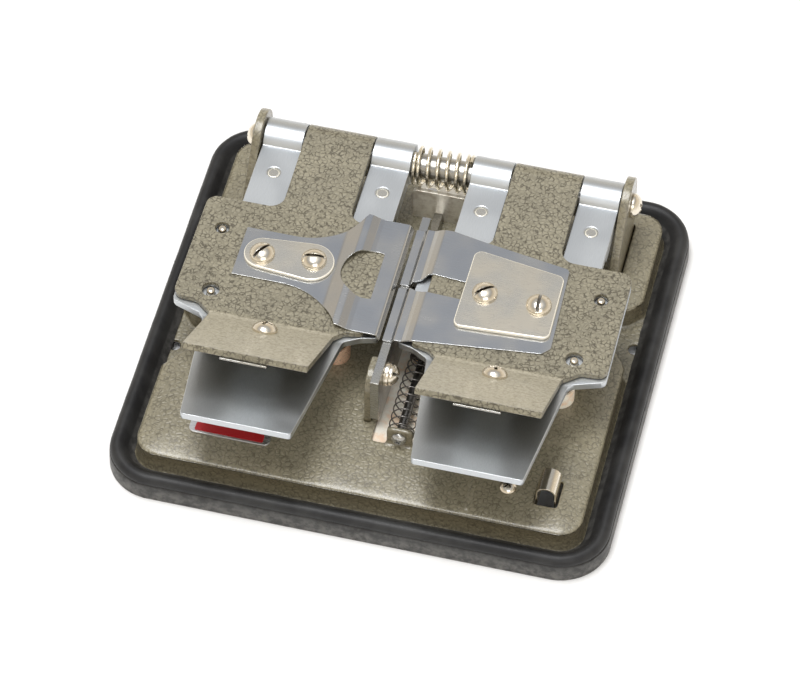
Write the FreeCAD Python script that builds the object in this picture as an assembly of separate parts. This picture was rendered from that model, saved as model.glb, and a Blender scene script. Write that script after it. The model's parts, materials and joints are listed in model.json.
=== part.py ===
"""Tabletop cement splicer for cine film, as an assembly of separate pieces.

Units are millimetres, +Z is up, +Y points to the hinge at the rear and +X to the right.
The origin is the middle of the base, on the surface the rubber edging rests on.
Pieces of the right-hand film holder are drawn for x > 0 and mirrored for the left-hand one.
"""
import FreeCAD, Part
import math
import os

from FreeCAD import Vector

# Base: a pressed steel tray with a raised deck, gripped all round by a rubber edging
BASE_WIDTH = 115.0
BASE_DEPTH = 107.6
BASE_CORNER = 11.5
EDGING_HEIGHT = 6.8
EDGING_LIP = 5.8
EDGING_SHOULDER = 3.2
EDGING_LIP_THICKNESS = 0.5
EDGING_ROUNDING = 1.7
SHEET = 1.0
RIM_TOP = 2.7
RIM_INSET = 2.1
RIM_ROOM = 0.05
DECK_TOP = 9.0
DECK_INSET_FOOT = 5.95
DECK_INSET_TOP = 6.15
DECK_ROUNDING = 1.1
MOUNT_HOLE_RADIUS = 1.4
MOUNT_HOLE_X = 51.2
MOUNT_HOLE_Y = 12.0

# Height of the cutting prisms, well above everything
SAFE_HEIGHT = 60.0

# Name plate with a blank coloured panel
NAME_PLATE = (-40.1, -21.4, -39.9, -27.0)
NAME_PLATE_THICKNESS = 0.5
NAME_PANEL = (-38.7, -22.9, -39.35, -36.5)
NAME_PANEL_THICKNESS = 0.1

# Arched spring strip at the front right
ARCH_X = 42.0
ARCH_RADIUS = 2.3
ARCH_TOP = 14.0
ARCH_SHEET = 0.4
ARCH_FRONT_Y = -40.0
ARCH_WIDTH = 6.0
ARCH_FOOT_X = 30.0
ARCH_SCREW = (33.0, -37.9)

# Hinge: one axle for both holders
AXLE_Y = 37.6
AXLE_Z = 22.2
AXLE_RADIUS = 3.0
RUNNING_CLEARANCE = 0.05
KNUCKLE_RADIUS = 4.75
EAR_INNER_X = 42.3
EAR_THICKNESS = 2.0
EAR_RADIUS = 6.5
EAR_FRONT_Y = 16.3
EAR_REAR_Y = 43.2
BRACKET_WEB_BOTTOM = 6.6
BRACKET_WEB_FRONT_Y = 34.0
BRACKET_RIVET_X = (-36.0, -13.5, 13.5, 36.0)
BRACKET_RIVET_Y = 40.5
HINGE_SPRING_RADIUS = 4.3
HINGE_SPRING_WIRE = 0.42
HINGE_SPRING_PITCH = 2.6
HINGE_SPRING_LENGTH = 13.9

# Film holders: aluminium lower plate, painted upper plate
LOWER_TOP = 24.35
LOWER_THICKNESS = 1.9
UPPER_TOP = 26.0
UPPER_THICKNESS = 1.55
PLATE_REAR_Y = 14.6
PLATE_SIDE_X = 49.8
PLATE_REAR_CORNER = 2.4
ARM_INNER = (7.1, 16.3)
ARM_MIDDLE = (16.6, 32.4)
ARM_OUTER = (32.7, 42.0)
LOWER_BEND_Y = -19.0
LOWER_TAB_FRONT_Y = -49.3
LOWER_TAB_ANGLE = 7.2
UPPER_BEND_Y = -18.7
UPPER_TAB_ANGLE = 35.0
UPPER_TAB_LENGTH = 25.0
TAB_SCREW_X = 26.2
TAB_SCREW_REACH = 5.6
PIN_RADIUS = 0.95
PIN_TOP = 25.9
REAR_PIN = (44.0, 5.8)
FRONT_PIN = (41.8, -12.2)
RIVETS = ((37.3, 25.85), (11.6, 25.85))
RIVET_RADIUS = 1.4
RIVET_DEPTH = 0.25
STRAP_END_Y = AXLE_Y - 3.4
STRAP_TAIL_Y = 21.0
PIN_HOLES = ((REAR_PIN, 1.65), (FRONT_PIN, 2.0))

# Pressure leaves on the upper plates
TOUCHING = 0.02
LEAF = 0.4
LEAF_LEVEL = UPPER_TOP + TOUCHING + LEAF / 2
BACKING_LEFT = 0.8
BACKING_RIGHT = 0.9
LEFT_LEAF_SCREWS = ((32.9, -0.5), (21.1, 0.5))
RIGHT_LEAF_SCREWS = ((18.5, 0.2), (31.0, -0.3))
LEFT_SLOT_ANGLES = (-55, -8)
RIGHT_SLOT_ANGLES = (38, 92)

# Centre bar and its supports
BAR_HALF = 1.0
BAR_TOP = 24.0
BAR_FRONT_Y = -28.0
BAR_REAR_Y = 21.4
CLAMP_Y = -22.2
CLAMP_Z = 20.7
LUG_THICKNESS = 1.6
LUG_FRONT_Y = -27.2
LUG_REAR_Y = -18.6
LUG_TOP = 22.8
LUG_FOOT_THICKNESS = 0.8
LUG_FOOT_END_X = -12.0
REAR_PLATE_X = (-6.2, 10.0)
REAR_PLATE_Y = 33.3
REAR_PLATE_TOP = 18.4
REAR_PLATE_THICKNESS = 1.0
REAR_RIVET_X = (-3.2, 6.8)
WASHER_RADIUS = 2.75
WASHER_THICKNESS = 1.2

# Spring-loaded slider under the right-hand holder
ROD_X = 6.7
ROD_Z = 11.4
ROD_RADIUS = 1.1
ROD_FRONT_Y = -31.0
ROD_REAR_Y = 11.5
ROD_SPRING_RADIUS = 2.85
ROD_SPRING_WIRE = 0.25
ROD_SPRING_PITCH = 2.2
ROD_SCREW_RADIUS = 0.7
ROD_LUG_HALF = 2.95
ROD_LUG_TOP = 14.0
SLIDER_HALF = 3.2
SLIDER_TOP = 13.6
SLIDER_FRONT_Y = -8.0
SLIDER_LENGTH = 9.0
WINDOW = (0.4, 9.9, -32.2, 12.5)

# Spring posts under the lower plates
POST_X = (13.3, 38.6)
POST_Y = -10.5
CUP_RADIUS = 3.3
CUP_HEIGHT = 4.5
CUP_WALL = 0.6
CUP_FLOOR = 0.8
LIFT_SPRING_RADIUS = 2.1
LIFT_SPRING_WIRE = 0.3
LIFT_SPRING_PITCH = 1.6

M3 = 1.5
M3_CLEARANCE = M3 + 0.05
UP = Vector(0, 0, 1)
ALONG_X = Vector(1, 0, 0)
ALONG_Y = Vector(0, 1, 0)


# ---------------------------------------------------------------- basic shapes
def plan(u, v):
    """A point of a flat outline seen from above."""
    return Vector(u, v, 0)


def side(u, v):
    """A point of an outline seen from the side, u along Y and v along Z."""
    return Vector(0, u, v)


def front(u, v):
    """A point of an outline seen from the front, u along X and v along Z."""
    return Vector(u, 0, v)


def outline_face(corners, place):
    """Face inside a closed outline of (u, v) or (u, v, corner radius) points."""
    points = [(c[0], c[1], c[2] if len(c) > 2 else 0.0) for c in corners]
    edges = []
    count = len(points)
    trimmed = []
    for i, (u, v, radius) in enumerate(points):
        here = Vector(u, v, 0)
        before = Vector(points[i - 1][0], points[i - 1][1], 0)
        after = Vector(points[(i + 1) % count][0], points[(i + 1) % count][1], 0)
        to_before = (before - here).normalize()
        to_after = (after - here).normalize()
        half_angle = to_before.getAngle(to_after) / 2
        if radius == 0.0:
            trimmed.append((here, None, here))
            continue
        setback = radius / math.tan(half_angle)
        bisector = (to_before + to_after).normalize()
        middle = here + bisector * (radius / math.sin(half_angle) - radius)
        trimmed.append((here + to_before * setback, middle, here + to_after * setback))
    for i, (start, middle, end) in enumerate(trimmed):
        if middle is not None:
            arc = Part.Arc(place(start.x, start.y), place(middle.x, middle.y), place(end.x, end.y))
            edges.append(arc.toShape())
        following = trimmed[(i + 1) % count][0]
        if (following - end).Length > 1e-6:
            edges.append(Part.makeLine(place(end.x, end.y), place(following.x, following.y)))
    return Part.Face(Part.Wire(Part.__sortEdges__(edges)))


def prism(corners, place, start, length):
    """Outline extruded along the direction its plane faces."""
    direction = {plan: UP, side: ALONG_X, front: ALONG_Y}[place]
    solid = outline_face(corners, place).extrude(direction * length)
    solid.translate(direction * start)
    return solid


def block(x0, x1, y0, y1, z0, z1):
    return Part.makeBox(x1 - x0, y1 - y0, z1 - z0, Vector(x0, y0, z0))


def cylinder(radius, length, base, direction=UP):
    return Part.makeCylinder(radius, length, base, direction)


def rounded_rectangle(half_x, half_y, corner):
    return [(-half_x, -half_y, corner), (half_x, -half_y, corner),
            (half_x, half_y, corner), (-half_x, half_y, corner)]


def bent_strip(points, thickness):
    """Closed outline of a thin strip whose middle line runs through (u, v) or (u, v, bend radius) points."""
    vectors = [Vector(p[0], p[1], 0) for p in points]
    upper = []
    lower = []
    for i, here in enumerate(vectors):
        into = (here - vectors[i - 1]).normalize() if i > 0 else None
        out = (vectors[i + 1] - here).normalize() if i + 1 < len(vectors) else None
        into = into or out
        out = out or into
        normal_in = Vector(-into.y, into.x, 0)
        normal = (normal_in + Vector(-out.y, out.x, 0)).normalize()
        reach = thickness / 2 / normal.dot(normal_in)
        bend = points[i][2] if len(points[i]) > 2 else 0.0
        turn = math.copysign(thickness / 2, into.cross(out).z) if bend else 0.0
        above = here + normal * reach
        below = here - normal * reach
        upper.append((above.x, above.y, bend - turn))
        lower.append((below.x, below.y, bend + turn))
    return upper + lower[::-1]


def coil(radius, wire_radius, pitch, length, base, direction):
    """Round-wire helical spring that fills length from base along direction, skinned turn by turn."""
    rise = length - 2 * wire_radius
    sections_per_turn = 16
    count = round(rise / pitch * sections_per_turn)
    wires = []
    for i in range(count + 1):
        angle = 2 * math.pi * rise / pitch * i / count
        out = Vector(math.cos(angle), math.sin(angle), 0)
        along = Vector(-radius * out.y, radius * out.x, pitch / (2 * math.pi)).normalize()
        section = Part.makeCircle(wire_radius)
        turned = FreeCAD.Rotation(out, out.cross(along), along, "ZXY")
        section.Placement = FreeCAD.Placement(out * radius + UP * (wire_radius + rise * i / count), turned)
        wires.append(Part.Wire([section]))
    turns = [Part.makeLoft(wires[i:i + sections_per_turn + 1], True, False)
             for i in range(0, count, sections_per_turn)]
    spring = turns[0].multiFuse(turns[1:]).removeSplitter().Solids[0]
    spring.Placement = FreeCAD.Placement(base, FreeCAD.Rotation(UP, direction)).multiply(spring.Placement)
    return spring


def screw(head_radius, head_height, shank_radius, shank_length, drive, slot_angle=0.0):
    """Round-head screw: head above z = 0, shank below it."""
    rim = head_height * 0.3
    crown = Vector(head_radius * 0.62, 0, head_height * 0.84)
    wall = Part.makeLine(Vector(head_radius, 0, 0), Vector(head_radius, 0, rim))
    dome = Part.Arc(Vector(head_radius, 0, rim), crown, Vector(0, 0, head_height)).toShape()
    axis = Part.makeLine(Vector(0, 0, head_height), Vector(0, 0, 0))
    under = Part.makeLine(Vector(0, 0, 0), Vector(head_radius, 0, 0))
    head = Part.Face(Part.Wire([wall, dome, axis, under])).revolve(Vector(0, 0, 0), UP, 360)
    slot_width = head_radius * 0.24
    slot_depth = head_height * 0.55
    arms = (0.0,) if drive == "slotted" else (0.0, 90.0)
    reach = head_radius * (1.2 if drive == "slotted" else 0.5)
    for angle in arms:
        cut = block(-reach, reach, -slot_width / 2, slot_width / 2, head_height - slot_depth, head_height + 1)
        cut.rotate(Vector(0, 0, 0), UP, slot_angle + angle)
        head = head.cut(cut)
    return head.fuse(cylinder(shank_radius, shank_length, Vector(0, 0, -shank_length))).removeSplitter()


def rivet(head_radius, head_height, shank_radius, x, y, z_top, z_bottom):
    """Domed head on top of z_top, shank down to z_bottom."""
    head = cylinder(head_radius, head_height, Vector(x, y, z_top))
    rim = [e for e in head.Edges if abs(e.CenterOfMass.z - z_top - head_height) < 1e-6 and e.Closed]
    head = head.makeFillet(head_height * 0.8, rim)
    return head.fuse(cylinder(shank_radius, z_top - z_bottom, Vector(x, y, z_bottom))).removeSplitter()


def placed(shape, position, direction=UP):
    """Shape drawn about the origin, moved to position with its +Z turned to direction."""
    copy = shape.copy()
    copy.Placement = FreeCAD.Placement(position, FreeCAD.Rotation(UP, direction))
    return copy


def mirrored(shape):
    return shape.mirror(Vector(0, 0, 0), ALONG_X)


def as_drawn(shape):
    return shape


def group(shapes):
    return Part.makeCompound(shapes)


# ---------------------------------------------------------------- base
def base_outline(inset):
    """Corners of the base's outline, moved inwards by inset."""
    return rounded_rectangle(BASE_WIDTH / 2 - inset, BASE_DEPTH / 2 - inset, BASE_CORNER - inset)


def base_ring(inset, z):
    ring = outline_face(base_outline(inset), plan).OuterWire
    ring.translate(UP * z)
    return ring


def deck_block(inset, top):
    """Solid under the deck surface: straight-sided foot, sloping wall and rounded top edge."""
    slope = DECK_INSET_TOP - DECK_INSET_FOOT
    solid = Part.makeLoft([base_ring(inset, RIM_TOP - SHEET), base_ring(inset + slope, top)], True, True)
    rim = [e for e in solid.Edges if e.BoundBox.ZMin > top - 1e-6]
    return solid.makeFillet(DECK_ROUNDING, rim)


def side_pocket(extra):
    """Recess in the right-hand edge of the deck around the mounting hole."""
    y = MOUNT_HOLE_Y
    deep_x = 40.0 - extra
    corners = [(60.0, y - 13.5 - extra), (52.2, y - 11.5 - extra, 1.0), (47.0 - extra, y - 5.2 - extra, 2.5),
               (deep_x, y - 4.0 - extra, 3.4), (deep_x, y + 4.4 + extra, 3.4), (48.0, y + 6.0 + extra, 3.0),
               (52.4, y + 10.5 + extra, 1.0), (60.0, y + 11.5 + extra)]
    return prism(corners, plan, RIM_TOP - extra, 10.0)


def opposite(shape):
    """Copy turned half a turn about the vertical axis through the origin."""
    copy = shape.copy()
    copy.rotate(Vector(0, 0, 0), UP, 180)
    return copy


def left_pocket(extra):
    """The left-hand recess is the mirror image of the right-hand one, further to the front."""
    pocket = mirrored(side_pocket(extra))
    pocket.translate(ALONG_Y * -2 * MOUNT_HOLE_Y)
    return pocket


def mount_hole():
    return cylinder(MOUNT_HOLE_RADIUS, 12.0, Vector(MOUNT_HOLE_X, MOUNT_HOLE_Y, 0))


def rod_lug(y_start, y_end):
    """Tab pressed up from an end of the window; the guide rod runs between two of them."""
    x0, x1 = ROD_X - ROD_LUG_HALF, ROD_X + ROD_LUG_HALF
    bottom = DECK_TOP - SHEET
    corners = [(x0, bottom), (x1, bottom), (x1, ROD_LUG_TOP, 1.2), (x0, ROD_LUG_TOP, 1.2)]
    return prism(corners, front, y_start, y_end - y_start)


def base_plate(fasteners):
    rim = prism(base_outline(RIM_INSET), plan, RIM_TOP - SHEET, SHEET)
    skin = rim.fuse(deck_block(DECK_INSET_FOOT, DECK_TOP))
    hollow = deck_block(DECK_INSET_FOOT + SHEET, DECK_TOP - SHEET)
    for pocket in (side_pocket, left_pocket):
        skin = skin.cut(pocket(0.0))
        hollow = hollow.cut(pocket(SHEET))
    skin = skin.cut(hollow)
    x0, x1, y0, y1 = WINDOW
    openings = [block(x0, x1, y0, y1, 0, 12),
                block(-BAR_HALF - LUG_THICKNESS - 0.1, -BAR_HALF, LUG_FRONT_Y - 0.2, LUG_REAR_Y + 0.2, 0, 12),
                block(39.3, 44.7, -40.7, -33.4, 0, 12)]
    for x in (EAR_INNER_X - 0.2, -EAR_INNER_X - EAR_THICKNESS - 0.2):
        openings.append(block(x, x + EAR_THICKNESS + 0.4, EAR_FRONT_Y - 0.4, EAR_REAR_Y + 0.3, 0, 12))
    openings.append(mount_hole())
    openings.append(opposite(mount_hole()))
    rod_end = cylinder(ROD_RADIUS, 6.0, Vector(ROD_X, ROD_REAR_Y - 3.0, ROD_Z), ALONG_Y)
    rear_lug = rod_lug(ROD_REAR_Y - 0.2, y1).cut(rod_end)
    skin = skin.cut(group(openings)).fuse(rod_lug(y0, ROD_FRONT_Y)).fuse(rear_lug)
    return skin.cut(fasteners).removeSplitter()


def edging_opening():
    """Space inside the edging: straight at the lip, then widening upwards to the rounded shoulder."""
    lip_top = RIM_TOP + EDGING_LIP_THICKNESS
    straight = prism(base_outline(EDGING_LIP), plan, -1, lip_top + 1)
    rings = [base_ring(EDGING_LIP, lip_top), base_ring(EDGING_SHOULDER, EDGING_HEIGHT)]
    flare = Part.makeLoft(rings, True, True)
    return straight.fuse(flare)


def edging_groove():
    """Groove that takes the tray's rim with a little room on every side."""
    return prism(base_outline(RIM_INSET - RIM_ROOM), plan, RIM_TOP - SHEET - RIM_ROOM, SHEET + 2 * RIM_ROOM)


def rubber_edging():
    """U-shaped rubber trim that grips the tray's rim, notched at the mounting holes."""
    outer = prism(base_outline(0), plan, 0, EDGING_HEIGHT)
    top = [e for e in outer.Edges if e.BoundBox.ZMin > EDGING_HEIGHT - 1e-6]
    outer = outer.makeFillet(EDGING_ROUNDING, top)
    holes = group([mount_hole(), opposite(mount_hole())])
    return outer.cut(edging_opening()).cut(edging_groove()).cut(holes)


def window_plate():
    """Bright sheet that closes the window from below."""
    x0, x1, y0, y1 = WINDOW
    return block(x0 - 1.2, x1 + 4.0, y0 - 4.8, y1 + 4.0, DECK_TOP - SHEET - 0.6, DECK_TOP - SHEET)


def name_plate():
    x0, x1, y0, y1 = NAME_PLATE
    corners = [(x0, y0, 1.4), (x1, y0, 1.4), (x1, y1, 1.4), (x0, y1, 1.4)]
    return prism(corners, plan, DECK_TOP, NAME_PLATE_THICKNESS)


def name_panel():
    """Blank coloured panel on the name plate."""
    x0, x1, y0, y1 = NAME_PANEL
    corners = [(x0, y0, 0.4), (x1, y0, 0.4), (x1, y1, 1.3), (x0, y1, 1.3)]
    return prism(corners, plan, DECK_TOP + NAME_PLATE_THICKNESS, NAME_PANEL_THICKNESS)


def arch_solid(radius, bottom):
    """Upright slab with a half-round top, across the arch spring."""
    spring_line = ARCH_TOP - ARCH_RADIUS
    crown = cylinder(radius, ARCH_WIDTH, Vector(ARCH_X, ARCH_FRONT_Y, spring_line), ALONG_Y)
    return crown.fuse(block(ARCH_X - radius, ARCH_X + radius, ARCH_FRONT_Y, ARCH_FRONT_Y + ARCH_WIDTH,
                            bottom, spring_line))


def arch_spring():
    """Spring strip bent to an arch that stands up through the deck, with a foot below it."""
    bottom = DECK_TOP - SHEET - 0.1 - ARCH_SHEET
    foot = block(ARCH_FOOT_X, ARCH_X - ARCH_RADIUS + ARCH_SHEET, ARCH_FRONT_Y, ARCH_FRONT_Y + ARCH_WIDTH,
                 bottom, bottom + ARCH_SHEET)
    arch = arch_solid(ARCH_RADIUS, bottom).cut(arch_solid(ARCH_RADIUS - ARCH_SHEET, bottom - 1))
    return arch.fuse(foot).removeSplitter()


def arch_spring_screw():
    return placed(screw(1.95, 1.3, 1.0, 2.4, "cross", 50), Vector(*ARCH_SCREW, DECK_TOP))


# ---------------------------------------------------------------- hinge
def ear_outline():
    """Ear seen from the side: round about the axle, sloping forward to the deck."""
    reach = Vector(EAR_FRONT_Y - AXLE_Y, DECK_TOP - AXLE_Z, 0)
    lean = math.atan2(reach.y, reach.x) - math.acos(EAR_RADIUS / reach.Length)
    tangent = (AXLE_Y + EAR_RADIUS * math.cos(lean), AXLE_Z + EAR_RADIUS * math.sin(lean))
    return [(EAR_FRONT_Y, BRACKET_WEB_BOTTOM), (EAR_REAR_Y, BRACKET_WEB_BOTTOM), (EAR_REAR_Y, DECK_TOP),
            (AXLE_Y + EAR_RADIUS, AXLE_Z), (AXLE_Y, AXLE_Z), tangent, (EAR_FRONT_Y, DECK_TOP)]


def hinge_bracket(rivets):
    ear = prism(ear_outline(), side, EAR_INNER_X, EAR_THICKNESS)
    ear = ear.fuse(cylinder(EAR_RADIUS, EAR_THICKNESS, Vector(EAR_INNER_X, AXLE_Y, AXLE_Z), ALONG_X))
    ear = ear.cut(cylinder(M3_CLEARANCE, 10, Vector(EAR_INNER_X - 1, AXLE_Y, AXLE_Z), ALONG_X))
    web = block(-EAR_INNER_X, EAR_INNER_X, BRACKET_WEB_FRONT_Y, EAR_REAR_Y, BRACKET_WEB_BOTTOM,
                DECK_TOP - SHEET)
    return web.fuse(ear).fuse(mirrored(ear)).cut(rivets).removeSplitter()


def bracket_rivets():
    return [rivet(2.0, 0.9, 1.2, x, BRACKET_RIVET_Y, DECK_TOP, BRACKET_WEB_BOTTOM) for x in BRACKET_RIVET_X]


def hinge_axle():
    length = 2 * (EAR_INNER_X - RUNNING_CLEARANCE)
    axle = cylinder(AXLE_RADIUS, length, Vector(-length / 2, AXLE_Y, AXLE_Z), ALONG_X)
    for direction in (1, -1):
        start = Vector(direction * length / 2, AXLE_Y, AXLE_Z)
        axle = axle.cut(cylinder(M3, 7.0, start, ALONG_X * -direction))
    return axle


def axle_screws():
    shank = EAR_THICKNESS + 5.0
    head = screw(2.9, 2.3, M3, shank, "cross", 20)
    x = EAR_INNER_X + EAR_THICKNESS
    return [placed(head, Vector(x, AXLE_Y, AXLE_Z), ALONG_X),
            placed(head, Vector(-x, AXLE_Y, AXLE_Z), -ALONG_X)]


# ---------------------------------------------------------------- centre bar
def centre_bar():
    corners = [(BAR_FRONT_Y, 11.2), (BAR_FRONT_Y, BAR_TOP), (BAR_REAR_Y, BAR_TOP), (BAR_REAR_Y, 13.0, 2.0),
               (REAR_PLATE_Y, 11.6), (REAR_PLATE_Y, DECK_TOP), (BAR_FRONT_Y + 1.5, DECK_TOP)]
    bar = prism(corners, side, -BAR_HALF, 2 * BAR_HALF)
    return bar.cut(cylinder(M3_CLEARANCE, 10, Vector(-5, CLAMP_Y, CLAMP_Z), ALONG_X))


def bar_lug():
    """Upright lug beside the bar, with a foot under the deck."""
    x0 = -BAR_HALF - LUG_THICKNESS
    foot_bottom = DECK_TOP - SHEET - LUG_FOOT_THICKNESS
    wall = prism([(LUG_FRONT_Y, foot_bottom), (LUG_REAR_Y, foot_bottom), (LUG_REAR_Y, LUG_TOP, 2.0),
                  (LUG_FRONT_Y, LUG_TOP, 4.4)], side, x0, LUG_THICKNESS)
    foot = block(LUG_FOOT_END_X, x0, LUG_FRONT_Y, LUG_REAR_Y, foot_bottom, DECK_TOP - SHEET)
    return wall.fuse(foot).cut(cylinder(M3, 10, Vector(-5, CLAMP_Y, CLAMP_Z), ALONG_X)).removeSplitter()


def bar_washer():
    ring = cylinder(WASHER_RADIUS, WASHER_THICKNESS, Vector(BAR_HALF, CLAMP_Y, CLAMP_Z), ALONG_X)
    return ring.cut(cylinder(M3_CLEARANCE, 4, Vector(0, CLAMP_Y, CLAMP_Z), ALONG_X))


def bar_screw():
    shank = WASHER_THICKNESS + 2 * BAR_HALF + LUG_THICKNESS
    seat = Vector(BAR_HALF + WASHER_THICKNESS, CLAMP_Y, CLAMP_Z)
    return placed(screw(2.45, 2.0, M3, shank, "slotted", 30), seat, ALONG_X)


def rear_bracket(rivets):
    """Angle bracket behind the bar that its tail is held against."""
    x0, x1 = REAR_PLATE_X
    corners = [(x0, DECK_TOP), (x1, DECK_TOP), (x1, REAR_PLATE_TOP, 1.0), (x0, REAR_PLATE_TOP, 1.0)]
    wall = prism(corners, front, REAR_PLATE_Y, REAR_PLATE_THICKNESS)
    foot = block(x0, x1, REAR_PLATE_Y, 43.0, DECK_TOP, DECK_TOP + REAR_PLATE_THICKNESS)
    return wall.fuse(foot).cut(rivets).removeSplitter()


def rear_bracket_rivets():
    seat = DECK_TOP + REAR_PLATE_THICKNESS
    return [rivet(1.8, 0.8, 1.1, x, BRACKET_RIVET_Y - 0.5, seat, BRACKET_WEB_BOTTOM) for x in REAR_RIVET_X]


# ---------------------------------------------------------------- slider
def guide_rod():
    rod = cylinder(ROD_RADIUS, ROD_REAR_Y - ROD_FRONT_Y, Vector(ROD_X, ROD_FRONT_Y, ROD_Z), ALONG_Y)
    return rod.cut(cylinder(ROD_SCREW_RADIUS, 4.0, Vector(ROD_X, ROD_FRONT_Y, ROD_Z), ALONG_Y))


def rod_screw():
    seat = Vector(ROD_X, WINDOW[2], ROD_Z)
    return placed(screw(1.75, 1.2, ROD_SCREW_RADIUS, 5.0, "cross", 35), seat, -ALONG_Y)


def slider():
    body = block(ROD_X - SLIDER_HALF, ROD_X + SLIDER_HALF, SLIDER_FRONT_Y, SLIDER_FRONT_Y + SLIDER_LENGTH,
                 DECK_TOP + 3 * RUNNING_CLEARANCE, SLIDER_TOP)
    bore = cylinder(ROD_RADIUS + RUNNING_CLEARANCE, 30.0, Vector(ROD_X, -15, ROD_Z), ALONG_Y)
    return body.makeFillet(0.6, [e for e in body.Edges if e.BoundBox.ZMin > SLIDER_TOP - 0.1]).cut(bore)


# ---------------------------------------------------------------- film holders
def flat_to_tab(bend_y, level, thickness, angle, length, bend_radius, rear_y):
    """Side outline of a sheet that is flat up to bend_y and then rises towards the front."""
    lean = math.radians(angle)
    tip = (bend_y - length * math.cos(lean), level + length * math.sin(lean))
    under_tip = (tip[0] - thickness * math.sin(lean), tip[1] - thickness * math.cos(lean))
    under_bend = bend_y - thickness * math.tan(lean / 2)
    return [(rear_y, level), (bend_y, level, bend_radius), tip, under_tip,
            (under_bend, level - thickness, bend_radius + thickness), (rear_y, level - thickness)]


def tangent_point(start, radius):
    """Where the line from start (y, z) touches the top of a circle about the axle."""
    reach = Vector(start[0] - AXLE_Y, start[1] - AXLE_Z, 0)
    angle = math.atan2(reach.y, reach.x) - math.acos(radius / reach.Length)
    return (AXLE_Y + radius * math.cos(angle), AXLE_Z + radius * math.sin(angle))


def knuckle(arm):
    x0, x1 = arm
    return cylinder(KNUCKLE_RADIUS, x1 - x0, Vector(x0, AXLE_Y, AXLE_Z), ALONG_X)


def axle_bore():
    return cylinder(AXLE_RADIUS + RUNNING_CLEARANCE, 60, Vector(0, AXLE_Y, AXLE_Z), ALONG_X)


def lower_outline():
    rear = PLATE_REAR_Y - 0.2
    return [(2.4, -15.7, 0.6), (6.0, -16.6, 4.0), (9.6, -18.6, 1.5),
            (13.5, LOWER_TAB_FRONT_Y, 0.8), (38.6, LOWER_TAB_FRONT_Y, 0.8),
            (41.9, -18.4, 2.0), (PLATE_SIDE_X, -15.7, 1.6), (PLATE_SIDE_X - 0.3, rear, PLATE_REAR_CORNER),
            (ARM_OUTER[1], rear), (ARM_INNER[0], rear), (2.4, rear, 1.0)]


def lower_plate():
    tab_length = (LOWER_BEND_Y - LOWER_TAB_FRONT_Y) / math.cos(math.radians(LOWER_TAB_ANGLE))
    profile = flat_to_tab(LOWER_BEND_Y, LOWER_TOP, LOWER_THICKNESS, LOWER_TAB_ANGLE, tab_length + 2, 6.0,
                          PLATE_REAR_Y + 30)
    plate = prism(profile, side, 0, SAFE_HEIGHT).common(prism(lower_outline(), plan, 0, SAFE_HEIGHT))
    bottom = LOWER_TOP - LOWER_THICKNESS
    for arm in (ARM_INNER, ARM_OUTER):
        x0, x1 = arm
        strap = block(x0, x1, PLATE_REAR_Y - 1, STRAP_END_Y, bottom, LOWER_TOP)
        tail = block(x0, x1, STRAP_TAIL_Y, STRAP_END_Y, bottom - LOWER_THICKNESS, bottom)
        plate = plate.fuse(strap).fuse(tail).fuse(knuckle(arm))
    plate = plate.cut(axle_bore())
    for x, y in RIVETS:
        plate = plate.cut(rivet_seat(x, y))
    for x, y in (REAR_PIN, FRONT_PIN):
        plate = plate.cut(film_pin(x, y))
    return plate.removeSplitter()


def plate_rivet(x, y):
    """Rivet through the strap and its folded tail, its end set a little below the strap."""
    bottom = LOWER_TOP - 2 * LOWER_THICKNESS
    top = LOWER_TOP - RIVET_DEPTH
    shank = cylinder(RIVET_RADIUS, top - bottom, Vector(x, y, bottom))
    end = [e for e in shank.Edges if abs(e.CenterOfMass.z - top) < 1e-6 and e.Closed]
    shank = shank.makeFillet(0.35, end)
    return shank.fuse(cylinder(2.2, 0.7, Vector(x, y, bottom - 0.7))).removeSplitter()


def rivet_seat(x, y):
    """Rivet hole with its widened mouth."""
    end = LOWER_TOP - RIVET_DEPTH
    mouth = Part.makeCone(RIVET_RADIUS, RIVET_RADIUS + RIVET_DEPTH, RIVET_DEPTH, Vector(x, y, end))
    return mouth.fuse(cylinder(RIVET_RADIUS, 10.0, Vector(x, y, end - 10.0)))


def film_pin(x, y):
    bottom = LOWER_TOP - LOWER_THICKNESS
    pin = cylinder(PIN_RADIUS, PIN_TOP - bottom, Vector(x, y, bottom))
    tip = [e for e in pin.Edges if abs(e.CenterOfMass.z - PIN_TOP) < 1e-6 and e.Closed]
    return pin.makeFillet(0.6, tip)


def upper_outline():
    rear = PLATE_REAR_Y
    tab_front = UPPER_BEND_Y - UPPER_TAB_LENGTH * math.cos(math.radians(UPPER_TAB_ANGLE)) - 2
    return [(5.6, -16.3, 0.8), (9.6, -17.2, 1.5), (11.7, -19.2, 1.5), (12.0, tab_front), (40.3, tab_front),
            (40.3, -18.7, 1.5), (44.0, -15.6, 2.5), (PLATE_SIDE_X, -15.2, 2.2),
            (PLATE_SIDE_X - 0.3, rear, PLATE_REAR_CORNER), (ARM_MIDDLE[1], rear, 3.4),
            (ARM_MIDDLE[1], AXLE_Y), (ARM_MIDDLE[0], AXLE_Y), (ARM_MIDDLE[0], rear, 3.4), (5.6, rear, 1.0)]


def upper_arm(start_y):
    """Sheet that leaves the plate at start_y and meets the knuckle at a tangent."""
    top = tangent_point((start_y, UPPER_TOP), KNUCKLE_RADIUS)
    low = tangent_point((start_y, UPPER_TOP - UPPER_THICKNESS), KNUCKLE_RADIUS - UPPER_THICKNESS)
    corners = [(start_y, UPPER_TOP), top, low, (start_y, UPPER_TOP - UPPER_THICKNESS)]
    return prism(corners, side, 0, PLATE_SIDE_X)


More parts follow.
